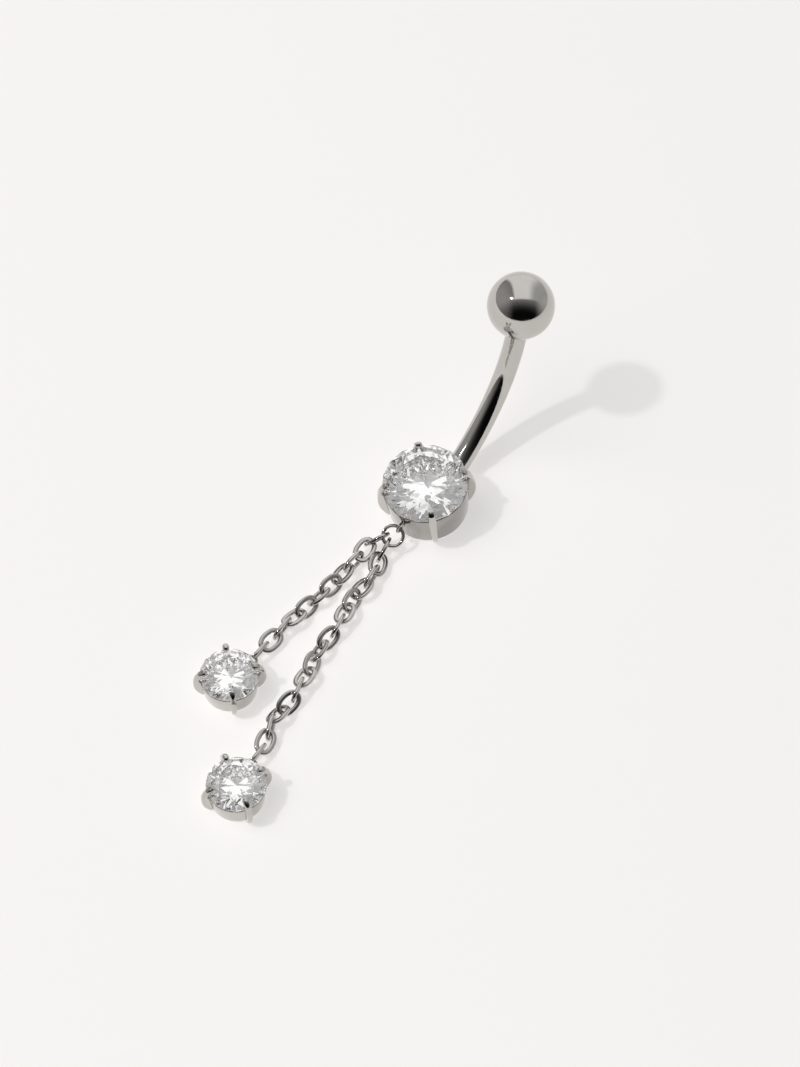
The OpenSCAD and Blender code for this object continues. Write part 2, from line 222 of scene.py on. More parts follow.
class StageSizes(bpy.types.PropertyGroup):
    distance: length("Camera distance", "Distance from the camera to what it looks at", 226)
    azimuth: angle("Azimuth", "Turn of the camera round the piece", 36.2)
    elevation: angle("Elevation", "Height of the camera above the horizon", 57.2)
    lens: FloatProperty(name="Lens", description="Focal length for a sensor 36 mm wide", default=136.3,
                        unit="CAMERA")
    sun: strength("Sun", "Strength of the light that casts the shadows", 0.57)
    wash: strength("Wash", "Power of the soft light that casts no shadow", 27.0)
    fill: strength("Fill", "Power of the soft light that casts a faint shadow", 8.0)
    panel: strength("Panel", "Brightness of the soft panel that the metal mirrors", 1.0)
    panel_edge: angle("Panel edge", "How far the panel reaches past the zenith towards the camera", 14)
    stone_glow: strength("Stone glow", "Brightness of the room as seen through a stone", 0.38)
    stone_panel: strength("Stone panel", "Brightness of the panel as seen through a stone", 1.15)
    room: strength("Room", "Brightness of the dark room round the panel", 0.004)
    wings: strength("Wings", "How much brighter the room is at its sides", 0.27)


GROUPS = {
    "barbell_sizes": BarbellSizes,
    "main_setting_sizes": MainSettingSizes,
    "drop_setting_sizes": DropSettingSizes,
    "prong_sizes": ProngSizes,
    "chain_sizes": ChainSizes,
    "finishes": Finishes,
    "stage_sizes": StageSizes,
}


# Where things are

def collar_r(stone_r, height, z):
    """Outer radius of a collar at this height above its bottom"""
    return stone_r - bpy.context.scene.prong_sizes.taper * (1 - z / height)


def main_rise():
    """How far the leaning main setting is raised, so that its lowest foot touches the floor"""
    s = bpy.context.scene.main_setting_sizes
    p = bpy.context.scene.prong_sizes
    low_r = collar_r(s.stone_d / 2, s.collar_h, 0)
    foot_y = (low_r + p.foot + s.prong_w * p.foot_share / 2) * sin(p.first)
    return max(foot_y * sin(s.tilt) + p.foot_drop * cos(s.tilt), low_r * sin(s.tilt))


def bend_centre():
    b = bpy.context.scene.barbell_sizes
    return Vector((0, b.end_reach - b.bend_r * sin(b.start_rise),
                   (b.bend_r + b.bar_d / 2) * cos(b.start_rise)))


def bar_point(rise):
    """A point of the bar's centreline, about the setting's axis"""
    b = bpy.context.scene.barbell_sizes
    return bend_centre() + b.bend_r * Vector((0, sin(rise), -cos(rise)))


def shoulder_back():
    """Distance from the ball's centre back to the bar's shoulder"""
    b = bpy.context.scene.barbell_sizes
    return sqrt((b.ball_d / 2) ** 2 - (b.bar_d / 2 + b.thread_gap) ** 2) - b.ball_recess


def setting_axis():
    """The foot of the main setting's axis on the floor, found from where the CAD ball is"""
    b = bpy.context.scene.barbell_sizes
    low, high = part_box("ball")
    ball_y = bar_point(b.end_rise).y + cos(b.end_rise) * shoulder_back()
    return Vector(((low[0] + high[0]) / 2, high[1] - b.ball_d / 2 - ball_y, 0))


def main_place():
    s = bpy.context.scene.main_setting_sizes
    return (Matrix.Translation(setting_axis() + Vector((0, 0, main_rise())))
            @ Matrix.Rotation(s.tilt, 4, "X"))


def bar_tip_place():
    """The bar's ball end, its own Z running out along the pin"""
    b = bpy.context.scene.barbell_sizes
    return (Matrix.Translation(setting_axis() + bar_point(b.end_rise))
            @ Matrix.Rotation(b.end_rise - pi / 2, 4, "X"))


def drop_place(stone, heading):
    """A drop's own frame, its X running away from its eye"""
    p = bpy.context.scene.prong_sizes
    low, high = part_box(stone)
    centre = Vector(((low[0] + high[0]) / 2, (low[1] + high[1]) / 2, p.foot_drop))
    return Matrix.Translation(centre) @ Matrix.Rotation(heading, 4, "Z")


def eye_height():
    """Height of a drop's eye, held by a link that lies on the floor"""
    c = bpy.context.scene.chain_sizes
    return (c.inner_w + c.wire) / 2 * sin(c.eye_roll) + c.wire / 2


def solid_axes(node):
    """Where a solid's middle is, and the turn of its long, middle and thin axes, from its volume's moments"""
    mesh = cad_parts[node].data
    mesh.calc_loop_triangles()
    points = np.empty(len(mesh.vertices) * 3)
    mesh.vertices.foreach_get("co", points)
    corners = np.empty(len(mesh.loop_triangles) * 3, dtype=int)
    mesh.loop_triangles.foreach_get("vertices", corners)
    faces = points.reshape(-1, 3)[corners].reshape(-1, 3, 3)
    faces = faces - faces.mean(axis=(0, 1))
    volume = np.einsum("ij,ij->i", faces[:, 0], np.cross(faces[:, 1], faces[:, 2]))
    middle = (faces.sum(axis=1) * volume[:, None]).sum(axis=0) / volume.sum() / 4
    faces = faces - middle
    volume = np.einsum("ij,ij->i", faces[:, 0], np.cross(faces[:, 1], faces[:, 2]))
    total = faces.sum(axis=1)
    spread = (np.einsum("i,ij,ik->jk", volume, total, total)
              + np.einsum("i,inj,ink->jk", volume, faces, faces))
    axes = np.linalg.eigh(spread)[1][:, ::-1]
    axes[:, 2] = np.cross(axes[:, 0], axes[:, 1])
    turn = Matrix(axes.tolist()).to_euler()
    centre = Vector(points.reshape(-1, 3)[corners].mean(axis=0)) + Vector(middle)
    return centre, turn


# Mesh making

# Points closer than this are one, in metres
WELD = 1e-7

# Points round a ball or a collar
ROUND_STEPS = 128


class Shape:
    """Closed shells that become one mesh"""

    def __init__(self):
        self.points = []
        self.faces = []

    def add(self, points, faces, place=Matrix.Identity(4)):
        start = len(self.points)
        self.points += [place @ Vector(p) for p in points]
        self.faces += [[start + i for i in face] for face in faces]

    def loft(self, rings, place=Matrix.Identity(4), closed=False):
        """Joins equal rings of points, with a cap on each end or back to the first ring"""
        count = len(rings[0])
        faces = []
        for i in range(len(rings) if closed else len(rings) - 1):
            here = i * count
            there = (i + 1) % len(rings) * count
            for j in range(count):
                k = (j + 1) % count
                faces.append([here + j, here + k, there + k, there + j])
        if not closed:
            faces.append(list(range(count)))
            faces.append([(len(rings) - 1) * count + j for j in range(count)])
        self.add([p for ring in rings for p in ring], faces, place)

    def lathe(self, profile, place=Matrix.Identity(4), steps=96, closed=True):
        """Turns a profile of (radius, height) round Z"""
        rings = []
        for i in range(steps):
            turn = 2 * pi * i / steps
            rings.append([(r * cos(turn), r * sin(turn), z) for r, z in profile])
        count = len(profile)
        faces = []
        for i in range(steps):
            here = i * count
            there = (i + 1) % steps * count
            for j in range(count if closed else count - 1):
                k = (j + 1) % count
                faces.append([here + j, there + j, there + k, here + k])
        self.add([p for ring in rings for p in ring], faces, place)

    def mesh(self, name, crease=radians(30)):
        mesh = bpy.data.meshes.new(name)
        mesh.from_pydata(self.points, [], self.faces)
        work = bmesh.new()
        work.from_mesh(mesh)
        bmesh.ops.remove_doubles(work, verts=work.verts, dist=WELD)
        bmesh.ops.dissolve_degenerate(work, edges=work.edges, dist=WELD)
        bmesh.ops.recalc_face_normals(work, faces=work.faces)
        work.to_mesh(mesh)
        work.free()
        smooth(mesh, crease)
        return mesh


def smooth(mesh, crease=radians(30)):
    mesh.shade_smooth()
    mesh.set_sharp_from_angle(angle=crease)


def rounded(corners, radius, steps=5, closed=True):
    """A polyline with its corners rounded"""
    count = len(corners)
    line = []
    for i, corner in enumerate(corners):
        here = Vector(corner)
        if not closed and i in (0, count - 1):
            line.append(here)
            continue
        before = Vector(corners[i - 1]) - here
        after = Vector(corners[(i + 1) % count]) - here
        start = here + before.normalized() * min(radius, before.length * 0.4)
        end = here + after.normalized() * min(radius, after.length * 0.4)
        for k in range(steps):
            t = k / (steps - 1)
            line.append(start.lerp(here, t).lerp(here.lerp(end, t), t))
    return line


def show(mesh, name, material, body, place=None):
    """Puts a finished mesh into the scene as a piece that rides on a body"""
    if place is not None:
        mesh.transform(place)
    mesh.materials.clear()
    mesh.materials.append(material)
    piece = bpy.data.objects.new(name, mesh)
    bpy.context.scene.collection.objects.link(piece)
    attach(piece, body)
    return piece


# Geometry Nodes

def add_node(tree, kind, settings=None, **inputs):
    """A node with its settings, and its inputs as values or as sockets to link"""
    made = tree.nodes.new(kind)
    for key, value in (settings or {}).items():
        setattr(made, key, value)
    for key, value in inputs.items():
        socket = made.inputs[int(key[1:])] if key[0] == "_" else made.inputs[key.replace("_", " ").title()]
        if isinstance(value, bpy.types.NodeSocket):
            tree.links.new(value, socket)
        else:
            socket.default_value = value
    return made


def start_tree(name, inputs):
    tree = bpy.data.node_groups.new(name, "GeometryNodeTree")
    tree.interface.new_socket("Geometry", in_out="OUTPUT", socket_type="NodeSocketGeometry")
    tree.interface.new_socket("Geometry", in_out="INPUT", socket_type="NodeSocketGeometry")
    for key, kind in inputs.items():
        tree.interface.new_socket(key, in_out="INPUT", socket_type=kind)
    return tree, tree.nodes.new("NodeGroupInput").outputs


def end_tree(tree, instances, material):
    """Ends a tree in Realize Instances and Set Material"""
    real = add_node(tree, "GeometryNodeRealizeInstances", Geometry=instances)
    painted = add_node(tree, "GeometryNodeSetMaterial", Geometry=real.outputs[0], Material=material)
    out = tree.nodes.new("NodeGroupOutput")
    tree.links.new(painted.outputs[0], out.inputs[0])


def bake(mesh, tree, values, name):
    """Runs a tree on a mesh and gives the result as a plain mesh"""
    holder = bpy.data.objects.new(name, mesh)
    bpy.context.scene.collection.objects.link(holder)
    modifier = holder.modifiers.new(tree.name, "NODES")
    modifier.node_group = tree
    for item in tree.interface.items_tree:
        if item.in_out == "INPUT" and item.name in values:
            modifier[item.identifier] = values[item.name]
    made = holder.evaluated_get(bpy.context.evaluated_depsgraph_get())
    result = bpy.data.meshes.new_from_object(made)
    holder.modifiers.remove(modifier)
    bpy.data.objects.remove(holder)
    smooth(result)
    return result


# Points along a link and round its wire
LINK_STEPS = 56
LINK_SIDES = 28


def links_tree():
    """Sets an oval link with polished flats on each point, turned by the point's own turn"""
    tree, given = start_tree("Chain links", {
        "Wire": "NodeSocketFloat",
        "Flat": "NodeSocketFloat",
        "Inner Length": "NodeSocketFloat",
        "Inner Width": "NodeSocketFloat",
        "Roundness": "NodeSocketFloat",
        "Flatness": "NodeSocketFloat",
        "Material": "NodeSocketMaterial",
    })
    wide = math_node(tree, "ADD", given["Inner Width"], given["Wire"])
    long = math_node(tree, "ADD", given["Inner Length"], given["Wire"])
    path = rounded_oval(tree, LINK_STEPS, long, wide, given["Roundness"])
    section = rounded_oval(tree, LINK_SIDES, given["Wire"], given["Flat"], given["Flatness"])
    link = add_node(tree, "GeometryNodeCurveToMesh", Curve=path)
    tree.links.new(section, link.inputs["Profile Curve"])
    turn = add_node(tree, "GeometryNodeInputNamedAttribute", {"data_type": "FLOAT_VECTOR"}, Name="turn")
    rotation = add_node(tree, "FunctionNodeEulerToRotation", _0=turn.outputs[0])
    instances = add_node(tree, "GeometryNodeInstanceOnPoints", Points=given["Geometry"],
                         Instance=link.outputs[0], Rotation=rotation.outputs[0])
    end_tree(tree, instances.outputs[0], given["Material"])
    return tree


def rounded_oval(tree, count, width, height, power):
    """An oval of a width and a height: power 2 is an ellipse, and more fills its corners"""
    circle = add_node(tree, "GeometryNodeCurvePrimitiveCircle", _0=count)
    circle.inputs["Radius"].default_value = 1.0
    place = add_node(tree, "GeometryNodeInputPosition")
    split = add_node(tree, "ShaderNodeSeparateXYZ", _0=place.outputs[0])
    exponent = math_node(tree, "DIVIDE", 2.0, power)
    joined = add_node(tree, "ShaderNodeCombineXYZ")
    for axis, size in enumerate((width, height)):
        value = split.outputs[axis]
        reach = math_node(tree, "POWER", math_node(tree, "ABSOLUTE", value, 0.0), exponent)
        reach = math_node(tree, "MULTIPLY", reach, math_node(tree, "SIGN", value, 0.0))
        half = math_node(tree, "MULTIPLY", size, 0.5)
        tree.links.new(math_node(tree, "MULTIPLY", reach, half), joined.inputs[axis])
    oval = add_node(tree, "GeometryNodeSetPosition", Geometry=circle.outputs[0], Position=joined.outputs[0])
    return oval.outputs[0]


def around_tree():
    """Sets a number of copies of a piece round Z"""
    tree, given = start_tree("Around the collar", {
        "Count": "NodeSocketInt",
        "First": "NodeSocketFloat",
        "Material": "NodeSocketMaterial",
    })
    spots = add_node(tree, "GeometryNodePoints", Count=given["Count"])
    index = add_node(tree, "GeometryNodeInputIndex")
    step = math_node(tree, "DIVIDE", 2 * pi, given["Count"])
    turned = math_node(tree, "MULTIPLY", index.outputs[0], step)
    turned = math_node(tree, "ADD", turned, given["First"])
    euler = add_node(tree, "ShaderNodeCombineXYZ", Z=turned)
    rotation = add_node(tree, "FunctionNodeEulerToRotation", _0=euler.outputs[0])
    instances = add_node(tree, "GeometryNodeInstanceOnPoints", Points=spots.outputs[0],
                         Instance=given["Geometry"], Rotation=rotation.outputs[0])
    end_tree(tree, instances.outputs[0], given["Material"])
    return tree


def math_node(tree, operation, first, second):
    return add_node(tree, "ShaderNodeMath", {"operation": operation}, _0=first, _1=second).outputs[0]


# Materials

def new_material(name):
    material = bpy.data.materials.new(name)
    material.use_nodes = True
    return material, material.node_tree, material.node_tree.nodes["Principled BSDF"]


def noise(tree, scale, detail=3.0, stretch=(1.0, 1.0, 1.0), seed=0.0):
    """Noise on the object's own coordinates"""
    where = add_node(tree, "ShaderNodeTexCoord")
    mapped = add_node(tree, "ShaderNodeMapping", Vector=where.outputs["Object"])
    mapped.inputs["Scale"].default_value = stretch
    mapped.inputs["Location"].default_value = (seed, seed * 0.7, seed * 0.3)
    made = add_node(tree, "ShaderNodeTexNoise", Vector=mapped.outputs[0], Scale=scale, Detail=detail)
    return made.outputs["Fac"]


def spread(tree, value, low, high, from_low=0.35, from_high=0.65):
    """Takes a texture's value to a range"""
    made = add_node(tree, "ShaderNodeMapRange", _0=value, _1=from_low, _2=from_high, _3=low, _4=high)
    return made.outputs[0]


def steel(name, colour, rough, scratch, mottle):
    """Polished steel: a hazy polish, fine scratches one way and another, and a little mottling"""
    material, tree, shader = new_material(name)
    shader.inputs["Metallic"].default_value = 1.0
    cloudy = noise(tree, CLOUD_SCALE, 4.0, seed=0.4)
    dark = tuple(c * (1 - mottle) for c in colour)
    mix = add_node(tree, "ShaderNodeMix", {"data_type": "RGBA"})
    tree.links.new(spread(tree, cloudy, 0.0, 1.0), mix.inputs[0])
    mix.inputs[6].default_value = (*colour, 1)
    mix.inputs[7].default_value = (*dark, 1)
    tree.links.new(mix.outputs[2], shader.inputs["Base Color"])
    haze = noise(tree, HAZE_SCALE, 5.0, seed=1.3)
    tree.links.new(spread(tree, haze, rough * 0.6, rough * 1.6), shader.inputs["Roughness"])
    lengthways = noise(tree, SCRATCH_SCALE, 2.0, stretch=(0.08, 1.0, 1.0), seed=2.1)
    crossways = noise(tree, SCRATCH_SCALE, 2.0, stretch=(1.0, 0.1, 0.8), seed=3.2)
    lines = math_node(tree, "ADD", lengthways, crossways)
    bump = add_node(tree, "ShaderNodeBump", Height=lines, Strength=scratch, Distance=SCRATCH_DEPTH)
    tree.links.new(bump.outputs[0], shader.inputs["Normal"])
    return material


def clear_stone(name, colour):
    """Clear cut stone with a high index and clean polished facets"""
    material, tree, shader = new_material(name)
    shader.inputs["Transmission Weight"].default_value = 1.0
    shader.inputs["IOR"].default_value = STONE_IOR
    faint = noise(tree, STONE_TINT_SCALE, 2.0, seed=0.9)
    mix = add_node(tree, "ShaderNodeMix", {"data_type": "RGBA"})
    tree.links.new(spread(tree, faint, 0.0, 1.0), mix.inputs[0])
    mix.inputs[6].default_value = (*colour, 1)
    mix.inputs[7].default_value = (*(c * STONE_TINT_SHARE for c in colour), 1)
    tree.links.new(mix.outputs[2], shader.inputs["Base Color"])
    polish = noise(tree, STONE_POLISH_SCALE, 2.0)
    tree.links.new(spread(tree, polish, 0.0, STONE_ROUGHNESS), shader.inputs["Roughness"])
    return material


def floor_material(name, colour):
    """Matt pale board with the faintest unevenness"""
    material, tree, shader = new_material(name)
    uneven = noise(tree, FLOOR_SCALE, 4.0)
    mix = add_node(tree, "ShaderNodeMix", {"data_type": "RGBA"})
    tree.links.new(uneven, mix.inputs[0])
    mix.inputs[6].default_value = (*(c * FLOOR_TINT_SHARE for c in colour), 1)
    mix.inputs[7].default_value = (*colour, 1)
    tree.links.new(mix.outputs[2], shader.inputs["Base Color"])
    shader.inputs["Roughness"].default_value = 1.0
    shader.inputs["Specular IOR Level"].default_value = 0.0
    return material


def finish_material(kind):
    """One material for each finish, made when it is first asked for"""
    colours = bpy.context.scene.finishes
    made = bpy.data.materials.get(kind)
    if made:
        return made
    if kind == "Clear stone":
        return clear_stone(kind, tuple(colours.stone))
    shade, rough, scratch, mottle = STEELS[kind]
    colour = colours.chain if kind == "Chain steel" else colours.steel
    return steel(kind, tuple(shade * c for c in colour), rough, scratch, mottle)


# The barbell

# Points along the bar and round it
BAR_STEPS = 150
BAR_SIDES = 48

# The shoulder's edge is rounded by this share of the other edges' rounding
SHOULDER_EDGE_SHARE = 0.8

# Where the solder starts inside the collar, in its own widths
SOLDER_START = -1.5


def ring_of(centre, side, up, radius, count):
    return [centre + radius * (cos(2 * pi * k / count) * side + sin(2 * pi * k / count) * up)
            for k in range(count)]


def collar_exit():
    """How far from the setting's axis the bar comes out of the collar"""
    s = bpy.context.scene.main_setting_sizes
    b = bpy.context.scene.barbell_sizes
    return collar_r(s.stone_d / 2, s.collar_h, b.bar_d / 2) * cos(s.tilt)


def bar_shape():
    """The bent bar, its solder at the collar and its rounded shoulder at the ball"""
    b = bpy.context.scene.barbell_sizes
    axis = setting_axis()
    leaves = collar_exit()
    half = b.bar_d / 2
    rings = []
    steps = BAR_STEPS
    for i in range(steps + 1):
        rise = b.start_rise + (b.end_rise - b.start_rise) * i / steps
        point = bar_point(rise)
        past = (point.y - leaves) / b.solder_flare if b.solder_flare else 1.0
        flare = b.solder_flare * max(0.0, 1 - max(past, 0.0)) ** 2 if past > SOLDER_START else 0.0
        up = Vector((0, -sin(rise), cos(rise)))
        ring = ring_of(axis + point, Vector((1, 0, 0)), up, half + flare, BAR_SIDES)
        rings.append([Vector((p.x, p.y, max(p.z, 0.0))) for p in ring])
    tip = bar_tip_place()
    edge = b.edge * SHOULDER_EDGE_SHARE
    for turn in (30, 60, 90):
        lift = edge * sin(radians(turn))
        inward = edge * (1 - cos(radians(turn)))
        up = tip.to_3x3() @ Vector((0, 1, 0))
        centre = tip @ Vector((0, 0, lift - edge))
        rings.append(ring_of(centre, Vector((1, 0, 0)), up, half - inward, BAR_SIDES))
    # The sharp end of the bend gives way to the rounded shoulder
    del rings[steps]
    shape = Shape()
    shape.loft(rings)
    return shape


# Rings of points in one turn of the thread, points in a ring, and how much the pin's end narrows
RINGS_A_TURN = 10
PIN_SIDES = 32
PIN_END_TAPER = 0.16

# Points along the ball's outline
BALL_STEPS = 72


def pin_shape():
    """The pin with its fine thread, which shows when the ball is unscrewed"""
    b = bpy.context.scene.barbell_sizes
    radius = b.pin_d / 2
    count = PIN_SIDES
    steps = int(b.pin_length / b.thread_pitch * RINGS_A_TURN)
    rings = []
    for i in range(steps + 1):
        z = b.pin_length * i / steps
        fade = min(1.0, z / b.thread_pitch, (b.pin_length - z) / b.thread_pitch)
        ring = []
        for k in range(count):
            turn = (z / b.thread_pitch - k / count) % 1.0
            r = radius - b.thread_depth * fade * abs(2 * turn - 1)
            ring.append((r * cos(2 * pi * k / count), r * sin(2 * pi * k / count), z))
        rings.append(ring)
    for inward in (0.4, 1.0):
        narrow = 1 - PIN_END_TAPER * inward
        rings.append([(x * narrow, y * narrow, b.pin_length + b.edge * inward) for x, y, z in rings[steps]])
    rings.insert(0, [(x, y, -b.edge) for x, y, z in rings[0]])
    shape = Shape()
    shape.loft(rings, bar_tip_place())
    return shape


def ball_shape():
    """The ball with its blind bore and the recess for the bar's shoulder"""
    b = bpy.context.scene.barbell_sizes
    radius = b.ball_d / 2
    back = shoulder_back()
    recess_r = b.bar_d / 2 + b.thread_gap
    bore_r = b.pin_d / 2 + b.thread_gap
    mouth = asin(recess_r / radius)
    profile = []
    for i in range(BALL_STEPS + 1):
        a = (pi - mouth) * i / BALL_STEPS
        profile.append((radius * sin(a), radius * cos(a)))
    lip = profile.pop()
    floor_z = -(back - b.thread_gap)
    bore_z = -back + b.pin_length + 2 * b.thread_gap
    inner = rounded([profile[-1], lip, (recess_r, floor_z), (bore_r, floor_z), (bore_r, bore_z), (0, bore_z)],
                    b.edge, closed=False)
    profile += [tuple(p) for p in inner[1:]]
    shape = Shape()
    centre = bar_tip_place() @ Matrix.Translation((0, 0, back))
    shape.lathe(profile, centre, steps=ROUND_STEPS, closed=False)
    return shape


# Settings

def collar_shape(stone_r, height):
    """A collar that narrows to its bottom, its mouth cut to the stone's pavilion, with eased edges"""
    p = bpy.context.scene.prong_sizes
    low_r = collar_r(stone_r, height, 0)
    bore_r = low_r - p.wall
    seat_r = stone_r - p.rim
    profile = [
        (bore_r, 0),
        (low_r, 0),
        (stone_r, height),
        (seat_r, height),
        (bore_r, height - (seat_r - bore_r) * tan(p.pavilion_angle)),
    ]
    shape = Shape()
    shape.lathe(rounded(profile, p.edge), steps=ROUND_STEPS)
    return shape


# The rings of a prong's eased foot, the power that squares its section there, and the claw's gain in power
FOOT_RINGS = 4
FOOT_POWER = 0.42
CLAW_POWER_GAIN = 0.40

# Points round a prong, the easing of its foot, and that of its claw as a share of the tip's radius
PRONG_SIDES = 32
FOOT_EASE = 0.06 * MM
CLAW_EASE_SHARE = 1.3

# How close the rings lie to the collar's rim and the girdle, and the least width of a prong
RIM_STEP = 0.02 * MM
GIRDLE_STEP = 0.01 * MM
THINNEST = 1e-6


def prong_shape(stone_r, height, width, reach):
    """A bowed prong, narrow at its foot, whose rounded claw follows the stone's crown"""
    p = bpy.context.scene.prong_sizes
    mouth_r = stone_r + p.stone_gap
    low_r = collar_r(stone_r, height, 0)
    crown_low = height + stone_lift() + p.girdle_h + p.stone_gap
    tip_x = stone_r - reach
    tip_z = crown_low + (reach + p.stone_gap) * tan(p.crown_angle) + p.tip_r / cos(p.crown_angle)
    top = tip_z + p.tip_r
    bow = stone_r + p.bulge - low_r - p.foot
    half = (top + p.foot_drop) / 2
    back_r = (half ** 2 + bow ** 2) / (2 * bow)
    back_x = stone_r + p.bulge - back_r
    touch_z = tip_z - p.tip_r * cos(p.crown_angle)
    shoulder = top - width / 2
    eased = CLAW_EASE_SHARE * p.tip_r

    def inner(z):
        if z <= height:
            return collar_r(stone_r, height, max(z, 0)) - p.bite
        if z <= crown_low:
            return mouth_r
        if z <= touch_z:
            return mouth_r - (z - crown_low) / tan(p.crown_angle)
        return tip_x - sqrt(max(p.tip_r ** 2 - (z - tip_z) ** 2, 0))

    def outer(z):
        back = back_x + sqrt(back_r ** 2 - (z - half + p.foot_drop) ** 2)
        if z > top - eased:
            back -= eased - sqrt(max(eased ** 2 - (z - top + eased) ** 2, 0))
        return back

    def half_width(z):
        way = (z + p.foot_drop) / (shoulder + p.foot_drop)
        wide = width / 2 * (p.foot_share + (1 - p.foot_share) * min(way, 1.0))
        if z > shoulder:
            wide = sqrt(max((width / 2) ** 2 - (z - shoulder) ** 2, 0))
        return wide

    foot_turns = np.linspace(0, pi / 2, FOOT_RINGS)
    heights = [-p.foot_drop + FOOT_EASE * (1 - cos(t)) for t in foot_turns]
    heights += list(np.linspace(-p.foot_drop + FOOT_EASE, height - RIM_STEP, 12))[1:]
    heights += [height + RIM_STEP, crown_low - GIRDLE_STEP]
    heights += list(np.linspace(crown_low, touch_z, 9))
    heights += [touch_z + (top - touch_z) * sin(t) for t in np.linspace(0, pi / 2, 14)][1:]
    rings = []
    for i, z in enumerate(heights):
        low_x, high_x = inner(z), max(outer(z), inner(z) + THINNEST)
        wide = max(half_width(z), THINNEST)
        inset = FOOT_EASE * (1 - sin(foot_turns[i])) if i < FOOT_RINGS else 0.0
        middle, deep = (low_x + high_x) / 2, (high_x - low_x) / 2 - inset
        wide -= inset
        rise = min(max((z - height) / (tip_z - height), 0.0), 1.0)
        power = FOOT_POWER + CLAW_POWER_GAIN * rise
        ring = []
        for k in range(PRONG_SIDES):
            t = 2 * pi * (k + 0.5) / PRONG_SIDES
            ring.append((middle + deep * bent(cos(t), power), wide * bent(sin(t), power), z))
        rings.append(ring)
    shape = Shape()
    shape.loft(rings)
    return shape


def bent(value, power):
    """Squares off a circle's sine or cosine, for a rounded bar section"""
    return (abs(value) ** power) * (1 if value >= 0 else -1)


def stone_lift():
    """From a collar's rim up to the lower edge of the stone's girdle"""
    p = bpy.context.scene.prong_sizes
    return p.rim * tan(p.pavilion_angle) + p.stone_gap / cos(p.pavilion_angle)


def show_stone(node):
    """A cut stone is its CAD solid, in its own clear material"""
    stone = bpy.data.objects[node]
    stone.data.materials.clear()
    stone.data.materials.append(finish_material("Clear stone"))


# Points round a hoop and round its wire
HOOP_STEPS = 72
HOOP_SIDES = 24


def hoop_shape(outer_d, wire, place=Matrix.Identity(4)):
    """A round ring of round wire, flat on its own XY plane"""
    radius = (outer_d - wire) / 2
    turns = [2 * pi * k / HOOP_SIDES for k in range(HOOP_SIDES)]
    profile = [(radius + wire / 2 * cos(turn), wire / 2 * sin(turn)) for turn in turns]
    shape = Shape()
    shape.lathe(profile, place, steps=HOOP_STEPS)
    return shape


def build_setting(names, node, sizes, place, collar_metal):
    """A collar and its prongs, in the place of one CAD setting"""
    p = bpy.context.scene.prong_sizes
    collar = collar_shape(sizes.stone_d / 2, sizes.collar_h).mesh(names[0])
    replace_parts(show(collar, names[0], finish_material(collar_metal), PIECE, place), node)
    metal = finish_material("Polished steel")
    prong = prong_shape(sizes.stone_d / 2, sizes.collar_h, sizes.prong_w, sizes.claw_reach).mesh("Prong")
    values = {"Count": p.count, "First": p.first, "Material": metal}
    prongs = bake(prong, around_tree(), values, "Prongs")
    show(prongs, names[1], metal, PIECE, place)


# Operators

class BuildOperator(bpy.types.Operator):
    bl_options = {"REGISTER", "UNDO"}


class NAVEL_OT_bar(BuildOperator):
    """Make the bent bar, its solder and its threaded pin"""
    bl_idname = "navel.bar"
    bl_label = "Bar"

    def execute(self, context):
        metal = finish_material("Polished steel")
        show(bar_shape().mesh("bar"), "bar", metal, PIECE)
        show(pin_shape().mesh("threaded_pin"), "threaded_pin", metal, PIECE)
        return {"FINISHED"}


class NAVEL_OT_ball(BuildOperator):
    """Make the screw-on ball"""
    bl_idname = "navel.ball"
    bl_label = "Ball"

    def execute(self, context):
        metal = finish_material("Polished steel")
        ball = show(ball_shape().mesh("ball_end"), "ball_end", metal, BALL)
        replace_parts(ball, "ball")
        return {"FINISHED"}


class NAVEL_OT_main_setting(BuildOperator):
    """Make the main collar, its prongs and its eyelet"""
    bl_idname = "navel.main_setting"
    bl_label = "Main setting"

    def execute(self, context):
        sizes = context.scene.main_setting_sizes
        p = context.scene.prong_sizes
        # The main collar gets painted shade: its steel is darkened to stand in for the shadowed floor that
        # its wall mirrors
        build_setting(("main_collar", "main_prongs"), "bar_and_setting", sizes, main_place(), "Collar steel")
        out = collar_r(sizes.stone_d / 2, sizes.collar_h, sizes.eyelet_h) + sizes.eyelet_d / 2 - p.solder
        place = Matrix.Translation((0, -out, sizes.eyelet_h)) @ Matrix.Rotation(pi / 2, 4, "Y")
        eyelet = hoop_shape(sizes.eyelet_d, p.wire, place).mesh("eyelet")
        show(eyelet, "eyelet", finish_material("Polished steel"), PIECE, main_place())
        return {"FINISHED"}


class NAVEL_OT_drops(BuildOperator):
    """Make the two drops' settings with their eyes"""
    bl_idname = "navel.drops"
    bl_label = "Drops"

    def execute(self, context):
        sizes = context.scene.drop_setting_sizes
        p = context.scene.prong_sizes
        for letter, heading in (("a", sizes.heading_a), ("b", sizes.heading_b)):
            place = drop_place(f"drop_{letter}_stone", heading)
            names = (f"drop_{letter}_collar", f"drop_{letter}_prongs")
            build_setting(names, f"drop_{letter}_setting", sizes, place, "Drop steel")
            up = eye_height() - p.foot_drop
            out = collar_r(sizes.stone_d / 2, sizes.collar_h, up) + sizes.eye_d / 2 - p.solder
            eye = hoop_shape(sizes.eye_d, p.wire, Matrix.Translation((-out, 0, up))).mesh("eye")
            show(eye, f"drop_{letter}_eye", finish_material("Polished steel"), PIECE, place)
        return {"FINISHED"}


